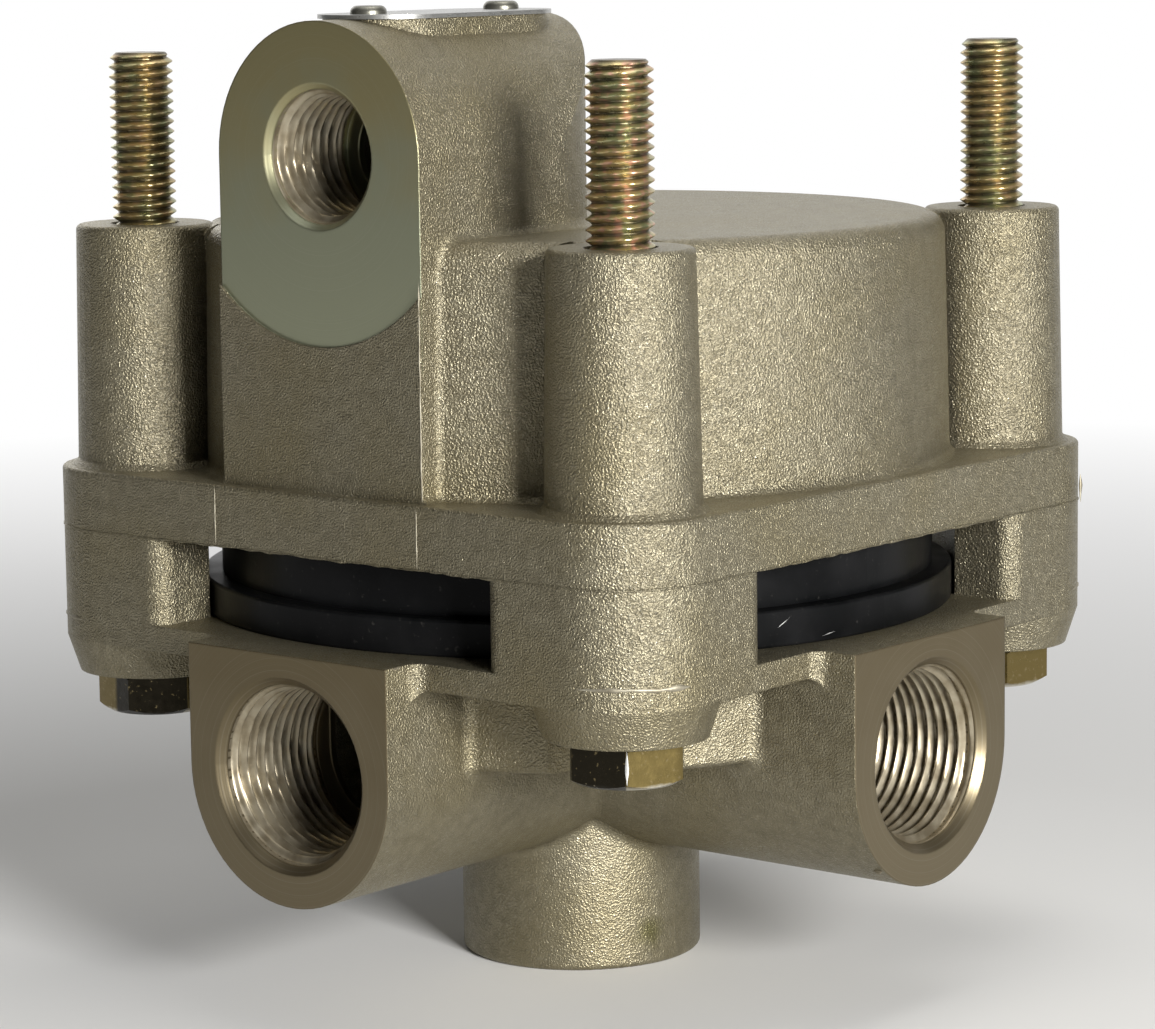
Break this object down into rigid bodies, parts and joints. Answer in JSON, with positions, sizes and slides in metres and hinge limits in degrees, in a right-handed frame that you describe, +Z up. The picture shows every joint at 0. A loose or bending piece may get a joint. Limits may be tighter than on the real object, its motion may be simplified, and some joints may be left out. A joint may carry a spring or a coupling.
{
  "type": "relay valve",
  "caption": "Pneumatic relay valve with a round-domed cover, a side control port, threaded lower ports, a central exhaust tube and mounting studs.",
  "frame": {"origin": "centre of the exhaust mouth, at the foot of the exhaust tube", "axes": "+Z up the valve axis, -Y towards the control port and one delivery port, +X towards the supply port"},
  "size_m": [0.1045, 0.11, 0.1222],
  "materials": {
    "casting": "shot blasted and chromated",
    "liner": "moulded",
    "seal": "moulded rubber",
    "bolt": "yellow zinc",
    "plate": "plain sheet",
    "rivet": "plain",
    "piston": "turned",
    "spring": "spring steel",
    "valve": "turned",
    "guide": "moulded"
  },
  "bodies": {
    "housing": {"cover": "casting", "lower_body": "casting", "cylinder_liner": "liner", "liner_upper_seal": "seal", "liner_foot_seal": "seal", "bolt_front_right": "bolt", "bolt_front_left": "bolt", "bolt_rear_right": "bolt", "bolt_rear_left": "bolt", "nameplate": "plate", "plate_rivet_front": "rivet", "plate_rivet_rear": "rivet", "valve_guide": "guide", "guide_seal": "seal", "stem_seal": "seal", "snap_ring": "spring", "exhaust_flap": "seal", "piston_spring": "spring", "valve_spring": "spring"},
    "piston": {"relay_piston": "piston", "piston_seal": "seal"},
    "inlet_valve": {"valve_stem": "valve", "valve_rubber_face": "seal"}
  },
  "joints": [
    {"name": "piston_slide", "type": "slide", "parent": "housing", "child": "piston", "axis": [0, 0, 1], "range_m": [-0.004, 0], "stiffness_N_per_m": 1500, "springref_m": 0.004, "deforming": ["piston_spring"]},
    {"name": "valve_slide", "type": "slide", "parent": "housing", "child": "inlet_valve", "axis": [0, 0, 1], "range_m": [-0.0025, 0], "stiffness_N_per_m": 1000, "springref_m": 0.003, "deforming": ["valve_spring"]}
  ],
  "couplings": [
    {"joint": "valve_slide", "follows": "piston_slide", "ratio": 0.625}
  ]
}
